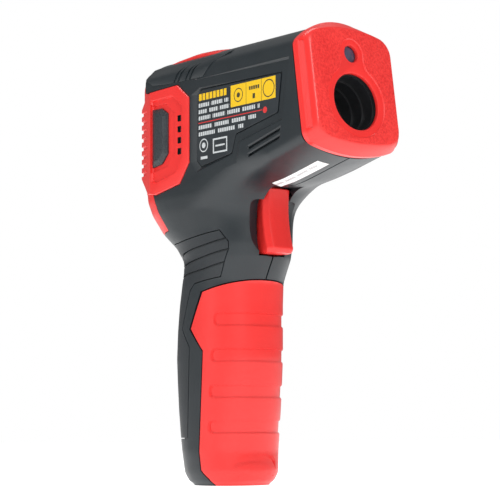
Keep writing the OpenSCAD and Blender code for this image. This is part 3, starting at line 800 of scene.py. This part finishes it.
# ---- finishes ------------------------------------------------------------------------------


class Value:
    """A number or colour inside a finish, so that sums on it read as sums."""

    def __init__(self, finish, socket):
        self.finish, self.socket = finish, socket

    def maths(self, operation, *values):
        return self.finish.node("ShaderNodeMath", {"operation": operation}, dict(enumerate(values)))

    def __add__(self, other):
        return self.maths("ADD", self, other)

    def __sub__(self, other):
        return self.maths("SUBTRACT", self, other)

    def __rsub__(self, other):
        return self.maths("SUBTRACT", other, self)

    def __mul__(self, other):
        return self.maths("MULTIPLY", self, other)

    def __gt__(self, other):
        return self.maths("GREATER_THAN", self, other)

    def __lt__(self, other):
        return self.maths("LESS_THAN", self, other)

    def __abs__(self):
        return self.maths("ABSOLUTE", self)

    def __mod__(self, other):
        return self.maths("FLOORED_MODULO", self, other)

    def __or__(self, other):
        return self.maths("MAXIMUM", self, other)

    __radd__, __rmul__ = __add__, __mul__

    def between(self, low, high):
        return (self > low) * (self < high)

    def root(self):
        return self.maths("SQRT", self)


class Finish:
    """One procedural material, built round a single shader."""

    def __init__(self, name, **constants):
        self.material = bpy.data.materials.new(name)
        self.material.use_nodes = True
        self.tree = self.material.node_tree
        self.tree.nodes.clear()
        self.shader = self.tree.nodes.new("ShaderNodeBsdfPrincipled")
        output = self.tree.nodes.new("ShaderNodeOutputMaterial")
        self.tree.links.new(self.shader.outputs[0], output.inputs[0])
        for key, value in constants.items():
            self.shader.inputs[key.replace("_", " ")].default_value = value
        self.place = self.node("ShaderNodeTexCoord", {}, {}, "Object")
        axes = self.tree.nodes.new("ShaderNodeSeparateXYZ")
        self.tree.links.new(self.place.socket, axes.inputs[0])
        self.x, self.y, self.z = (Value(self, s) * 1000 for s in axes.outputs)

    def node(self, kind, settings, sockets, out=0):
        new = self.tree.nodes.new(kind)
        for key, value in settings.items():
            setattr(new, key, value)
        for key, value in sockets.items():
            self.put(new.inputs[key], value)
        return Value(self, new.outputs[out])

    def put(self, socket, value):
        if isinstance(value, Value):
            self.tree.links.new(value.socket, socket)
        else:
            socket.default_value = value

    def feed(self, **sockets):
        for key, value in sockets.items():
            self.put(self.shader.inputs[key.replace("_", " ")], value)
        return self

    def noise(self, size, detail=2, rough=0.5):
        """Soft noise whose lumps are about size millimetres across, from 0 to 1."""
        return self.node("ShaderNodeTexNoise", {}, {
            "Vector": self.place, "Scale": 1000 / size, "Detail": detail, "Roughness": rough})

    def cells(self, size):
        """Distance to the middle of the nearest of many cells about size millimetres across."""
        return self.node("ShaderNodeTexVoronoi", {"feature": "F1"},
                         {"Vector": self.place, "Scale": 1000 / size}, "Distance")

    def mix(self, factor, a, b):
        return self.node("ShaderNodeMix", {"data_type": "RGBA"}, {0: factor, 6: a, 7: b}, 2)

    def ramp(self, value, low, high):
        """Value taken from low..high to 0..1."""
        return self.node("ShaderNodeMapRange", {}, {0: value, 1: low, 2: high, 3: 0.0, 4: 1.0})

    def bump(self, height, depth, strength=1.0, under=None):
        sockets = {"Height": height, "Distance": depth * MM, "Strength": strength}
        if under is not None:
            sockets["Normal"] = under
        return self.node("ShaderNodeBump", {}, sockets)

    def rect(self, x0, x1, z0, z1):
        return self.x.between(x0, x1) * self.z.between(z0, z1)

    def words(self, x0, x1, z0, z1, letter, word):
        """A row of small plain blocks, grouped, in a rectangle."""
        along = self.x - x0
        letters = (along % letter).between(letter * 0.24, letter)
        groups = (along % word) < word * 0.84
        return self.rect(x0, x1, z0, z1) * (letters * groups)

    def away(self, x, z):
        """Distance from a point in the side view."""
        across, up = self.x - x, self.z - z
        return (across * across + up * up).root()

    def disc(self, x, z, r):
        return self.away(x, z) < r

    def ring(self, x, z, r, line):
        return abs(self.away(x, z) - r) < line / 2


def any_of(first, *others):
    """Where at least one of several shapes is."""
    for other in others:
        first = first | other
    return first


def rgb(r, g, b):
    return (r, g, b, 1.0)


def moulded(name, colour, shade, rough, grain, depth, speckle=0.3):
    """Moulded plastic: fine spark grain, faint flow marks in the colour, a little handling polish."""
    finish = Finish(name)
    flow = finish.ramp(finish.noise(14, 3), 0.35, 0.65)
    grains = finish.noise(grain, 3, 0.6)
    fine = finish.noise(grain * 2.6, 2)
    patches = finish.ramp(finish.noise(9, 3), 0.3, 0.7)
    blend = flow * 0.3 + finish.ramp(grains, 0.4, 0.62) * speckle
    finish.feed(
        Base_Color=finish.mix(blend, rgb(*colour), rgb(*shade)),
        Roughness=rough + patches * 0.06 + (grains - 0.5) * 0.12,
        Normal=finish.bump(grains + fine * 0.6, depth))
    return finish.material


red = moulded("red_abs", (0.80, 0.030, 0.026), (0.70, 0.020, 0.018), 0.30, 0.42, 0.016)
red_spark = moulded("red_spark", (0.86, 0.044, 0.038), (0.62, 0.016, 0.015), 0.34, 0.8, 0.2, 0.7)
# smoother red whose darker, more saturated colour is painted shade for the recessed side bands of the bezel
red_smooth_shaded = moulded("red_smooth_painted_shade", (0.80, 0.020, 0.017), (0.72, 0.017, 0.015), 0.28, 0.5, 0.006)
charcoal = moulded("charcoal_abs", (0.014, 0.020, 0.024), (0.009, 0.013, 0.016), 0.34, 0.36, 0.016)
rubber = moulded("grip_rubber", (0.013, 0.018, 0.022), (0.009, 0.012, 0.015), 0.42, 0.5, 0.024)
insert_grain = moulded("insert_spark", (0.030, 0.037, 0.043), (0.010, 0.013, 0.016), 0.34, 0.7, 0.2, 0.7)
# black plastic of the real black parts, also used as painted shade in the ear grip holes and deep in the
# lens hole
black = moulded("black_plastic_and_painted_shade", (0.016, 0.017, 0.019), (0.011, 0.012, 0.013), 0.32, 0.4, 0.01)
key_rubber = moulded("key_rubber", (0.032, 0.038, 0.044), (0.026, 0.031, 0.036), 0.5, 0.4, 0.012)


def label_film():
    """Printed film: rows of plain blocks and two signs, a yellow panel and a thin red line."""
    film = Finish("label_film", Specular_IOR_Level=0.45)
    margin, tall = -12.7, 1.4
    rows = ((4.4, 133.4, 1.28, 7.4), (4.8, 131.1, 1.2, 6.1), (21.2, 128.8, 1.22, 8.2),
            (19.2, 125.5, 1.24, 9.3), (12.4, 123.1, 1.2, 11.2))
    frame_sign = film.rect(-4.4, 3.6, 116, 121.3) * (1 - film.rect(-3.8, 3, 116.6, 120.7))
    white = any_of(
        *(film.words(margin, end, foot, foot + tall, letter, word) for end, foot, letter, word in rows),
        film.ring(-9.6, 119.6, 2.2, 0.4), film.disc(-9.6, 119.6, 1),
        film.rect(-11.3, -7.5, 114.7, 115.7), frame_sign, film.rect(-3, 2.2, 118.3, 118.9))
    panel = film.rect(5.6, 29.6, 131, 138.6)
    yellow = panel | film.words(margin, 4.7, 135.8, 138.2, 2.0, 19)
    dark = any_of(
        abs(film.x - 14) < 0.1, abs(film.x - 22.2) < 0.1, film.ring(9.8, 134.8, 2.3, 0.35),
        film.disc(9.8, 134.8, 0.9), film.words(15.3, 21.2, 135.6, 136.9, 1.15, 20),
        film.rect(17.5, 18.8, 132.4, 134.2), film.ring(26, 134.8, 2.9, 0.4))
    line = film.rect(margin, 22.6, 127.65, 127.95) | film.disc(24, 127.6, 1.1)
    ground = film.mix(film.ramp(film.noise(6, 3), 0.3, 0.7), rgb(0.015, 0.020, 0.024),
                      rgb(0.021, 0.027, 0.032))
    colour = film.mix(white * 0.85, ground, rgb(0.62, 0.65, 0.66))
    colour = film.mix(line, colour, rgb(0.62, 0.03, 0.03))
    colour = film.mix(yellow, colour, rgb(0.80, 0.50, 0.008))
    colour = film.mix(dark * panel, colour, rgb(0.05, 0.045, 0.02))
    grains = film.noise(0.5, 2)
    film.feed(Base_Color=colour, Roughness=0.34 + grains * 0.12, Normal=film.bump(grains, 0.006))
    return film.material


def sticker_paper():
    paper = Finish("sticker_paper")
    marks = paper.words(12, 35, 90, 130, 0.9, 6.3) * paper.y.between(-6.9, -5.6)
    tint = paper.mix(paper.noise(3, 3), rgb(0.86, 0.85, 0.84), rgb(0.80, 0.79, 0.79))
    fibres = paper.noise(0.3, 3)
    paper.feed(Base_Color=paper.mix(marks * 0.9, tint, rgb(0.30, 0.30, 0.31)),
               Roughness=0.52 + fibres * 0.1, Normal=paper.bump(fibres, 0.006))
    return paper.material


def screen():
    """Idle display under its clear window, with the faint shapes of its segments."""
    glass = Finish("screen", Coat_Roughness=0.06)
    idle = glass.mix(glass.ramp(glass.noise(20, 2), 0.3, 0.7), rgb(0.16, 0.19, 0.17),
                     rgb(0.19, 0.22, 0.20))
    low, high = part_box("display_window")
    foot, top = low.z / MM, high.z / MM
    border = 1 - glass.y.between(-12.6, 12.6) * glass.z.between(foot + 1.6, top - 1.6)
    bars, half_line = [], 0.45
    for y in (8, 0, -8):
        for up in (4.2, 9.6, 15):
            bars.append(glass.y.between(y - 2.1, y + 2.1) * (abs(glass.z - foot - up) < half_line))
        for edge in (y - 2.6, y + 2.6):
            bars.append((abs(glass.y - edge) < half_line) * glass.z.between(foot + 4.6, foot + 14.6))
    colour = glass.mix(any_of(*bars) * 0.35, idle, rgb(0.06, 0.08, 0.07))
    glass.feed(Base_Color=glass.mix(border, colour, rgb(0.012, 0.014, 0.016)),
               Roughness=0.12 + glass.noise(5) * 0.04, Coat_Weight=0.6 + glass.noise(8) * 0.2)
    return glass.material


def metal(name, colour, worn, rough):
    finish = Finish(name, Metallic=1.0)
    brushed = finish.noise(0.6, 4, 0.7)
    wear = finish.ramp(finish.noise(3, 3), 0.35, 0.65)
    finish.feed(Base_Color=finish.mix(wear, rgb(*colour), rgb(*worn)),
                Roughness=rough + brushed * 0.15, Normal=finish.bump(brushed, 0.004))
    return finish.material


def laser_glass():
    glass = Finish("laser_glass", Coat_Roughness=0.04)
    glow = glass.ramp(glass.noise(4, 2), 0.3, 0.7)
    glass.feed(Base_Color=glass.mix(glow, rgb(0.040, 0.042, 0.075), rgb(0.07, 0.072, 0.12)),
               Roughness=0.14 + glow * 0.06, Coat_Weight=0.7 + glow * 0.2)
    return glass.material


def circuit_board():
    board = Finish("circuit_board", Coat_Weight=0.3)
    tracks = (board.cells(2.2) % 0.22) < 0.05
    colour = board.mix(tracks, rgb(0.012, 0.10, 0.035), rgb(0.02, 0.17, 0.06))
    board.feed(Base_Color=colour, Roughness=0.38 + board.noise(1.5) * 0.1,
               Normal=board.bump(tracks, 0.02))
    return board.material


def cell_case():
    """Metal-jacketed block battery: dark body, warm band."""
    case = Finish("cell_case", Metallic=0.6)
    low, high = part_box("battery")
    band = case.z > (high.z / MM - 16)
    scuff = case.ramp(case.noise(2, 4), 0.4, 0.7)
    colour = case.mix(band, rgb(0.03, 0.03, 0.035), rgb(0.55, 0.30, 0.09))
    case.feed(Base_Color=case.mix(scuff * 0.15, colour, rgb(0.4, 0.4, 0.4)),
              Roughness=0.3 + scuff * 0.12)
    return case.material


steel = metal("steel", (0.62, 0.62, 0.63), (0.52, 0.52, 0.53), 0.24)
brass = metal("brass", (0.68, 0.48, 0.20), (0.56, 0.38, 0.15), 0.26)


def wire_jacket(name, colour):
    return moulded(name, colour, tuple(c * 0.8 for c in colour), 0.4, 0.5, 0.004)


NODE_FINISHES = {
    "door_hinge_pin": steel, "trigger_pin": steel, "trigger_spring": steel, "shell_screws": steel,
    "board_screws": steel, "key_domes": steel, "sensor_can": steel, "laser_module": brass,
    "microswitch": black, "battery_snap": black, "buzzer": black, "lens_barrel": black,
    "lens_retainer": black, "laser_holder": black, "switch_plunger": red, "display_window": screen(),
    "lcd_panel": metal("screen_back", (0.32, 0.36, 0.33), (0.28, 0.32, 0.30), 0.3),
    "main_board": circuit_board(), "sensor_board": circuit_board(),
    "infrared_lens": moulded("lens_plastic", (0.42, 0.44, 0.43), (0.36, 0.38, 0.38), 0.24, 0.6, 0.004),
    "laser_window": laser_glass(), "battery": cell_case(),
    "battery_lead_red": wire_jacket("jacket_red", (0.6, 0.03, 0.03)),
    "battery_lead_black": wire_jacket("jacket_black", (0.02, 0.02, 0.02)),
    "switch_leads": wire_jacket("jacket_cream", (0.7, 0.66, 0.55)),
    "laser_leads": wire_jacket("jacket_orange", (0.7, 0.2, 0.05)),
    "sensor_leads": wire_jacket("jacket_blue", (0.08, 0.14, 0.5))}


def dress(piece, *finishes):
    piece.data.materials.clear()
    for finish in finishes:
        piece.data.materials.append(finish)


def paint(piece, slot, test):
    """Gives a finish to the faces that a test of their middle and normal picks, in millimetres."""
    for face in piece.data.polygons:
        if test(face.center / MM, face.normal):
            face.material_index = slot


for node, finish in NODE_FINISHES.items():
    dress(frame["nodes"][node], finish)
shells = [bpy.data.objects[name] for name in ("shell_right", "shell_left")]
for pieces, finish in ((shells, charcoal), (pads, rubber), (inserts, insert_grain), (keys, key_rubber),
                       (labels, label_film())):
    for piece in pieces:
        dress(piece, finish)
dress(sticker, sticker_paper())
dress(trigger, red)
dress(door, red)
dress(hood, red, red_spark, black)
paint(hood, 1, lambda c, n: c.z > 156.5 and c.x > -48)
# the walls of the grip holes in the ears are painted black: painted shade inside the holes
paint(hood, 2, lambda c, n: -24.7 < c.x < -22.4 and 17.9 < abs(c.y) < 20 and 117 < c.z < 133)
dress(bezel, red, red_spark, red_smooth_shaded, black)
nose_way = Vector((math.cos(PITCH), 0, math.sin(PITCH)))
nose = Vector((NOSE_X, 0, NOSE_Z))


def ahead(point):
    """How far a point is in front of the barrel's front face."""
    return (point - nose).dot(nose_way)


paint(bezel, 1, lambda c, n: n.dot(nose_way) > 0.95 and ahead(c) > -0.15)
# the recessed side bands take the darker red: painted shade
paint(bezel, 2, lambda c, n: -4.1 < ahead(c) < -2 and abs(c.y) > 17 and -12 < c.z - nose.z < 22)
# the lens hole's wall behind its land is painted black: painted shade deep in the hole
paint(bezel, 3, lambda c, n: ahead(c) < -1.45 and math.hypot(c.y, c.z - nose.z) < 10.6)


# ---- floor, light and camera -------------------------------------------------------------------

bpy.ops.object.select_all(action="DESELECT")
bpy.ops.mesh.primitive_plane_add(size=4)
floor = take("floor")
floor_paint = Finish("floor_paint", Emission_Color=rgb(1, 1, 1), Emission_Strength=0.85)
off_white = floor_paint.mix(floor_paint.noise(60), rgb(0.93, 0.93, 0.93), rgb(0.95, 0.95, 0.95))
floor_paint.feed(Base_Color=off_white, Roughness=0.75 + floor_paint.noise(20) * 0.1)
dress(floor, floor_paint.material)

world = bpy.data.worlds.new("studio")
bpy.context.scene.world = world
world.use_nodes = True
studio = world.node_tree
# a dim fill for the pieces, a white wall for the camera
fill = studio.nodes["Background"]
wall = studio.nodes.new("ShaderNodeBackground")
for background, strength in ((fill, 0.24), (wall, 1)):
    background.inputs["Color"].default_value = rgb(1, 1, 1)
    background.inputs["Strength"].default_value = strength
seen = studio.nodes.new("ShaderNodeLightPath")
either = studio.nodes.new("ShaderNodeMixShader")
studio.links.new(seen.outputs["Is Camera Ray"], either.inputs[0])
studio.links.new(fill.outputs[0], either.inputs[1])
studio.links.new(wall.outputs[0], either.inputs[2])
studio.links.new(either.outputs[0], studio.nodes["World Output"].inputs[0])
bpy.context.scene.view_settings.view_transform = "Standard"


def softbox(name, place, aim, size, power):
    bpy.ops.object.light_add(type="AREA", location=place)
    lamp = bpy.context.active_object
    lamp.name = name
    lamp.data.shape = "RECTANGLE"
    lamp.data.size, lamp.data.size_y = size
    lamp.data.energy = power
    lamp.rotation_euler = (Vector(place) - Vector(aim)).to_track_quat("Z", "Y").to_euler()
    return lamp


softbox("key_light", (0.75, -0.35, 0.6), (0, 0, 0.09), (0.35, 0.5), 4.6)
softbox("side_light", (-0.3, -0.95, 0.45), (0, 0, 0.08), (0.4, 0.6), 1.5)
softbox("top_light", (-0.15, 0, 1), (0, 0, 0.12), (0.8, 0.3), 5)

camera_data = bpy.data.cameras.new("camera")
camera = bpy.data.objects.new("camera", camera_data)
bpy.context.scene.collection.objects.link(camera)
right_way = Vector((0.63837, 0.76972, -0.00458))
up_way = Vector((0.07988, -0.06032, 0.99498))
back_way = right_way.cross(up_way).normalized()
up_way = back_way.cross(right_way.normalized())
camera.matrix_world = Matrix.Translation((0.48468, -0.40928, 0.01917)) @ Matrix(
    (right_way.normalized(), up_way, back_way)).transposed().to_4x4()
camera_data.lens = 129.6
camera_data.sensor_width = 36
camera_data.clip_start = 0.01
bpy.context.scene.camera = camera
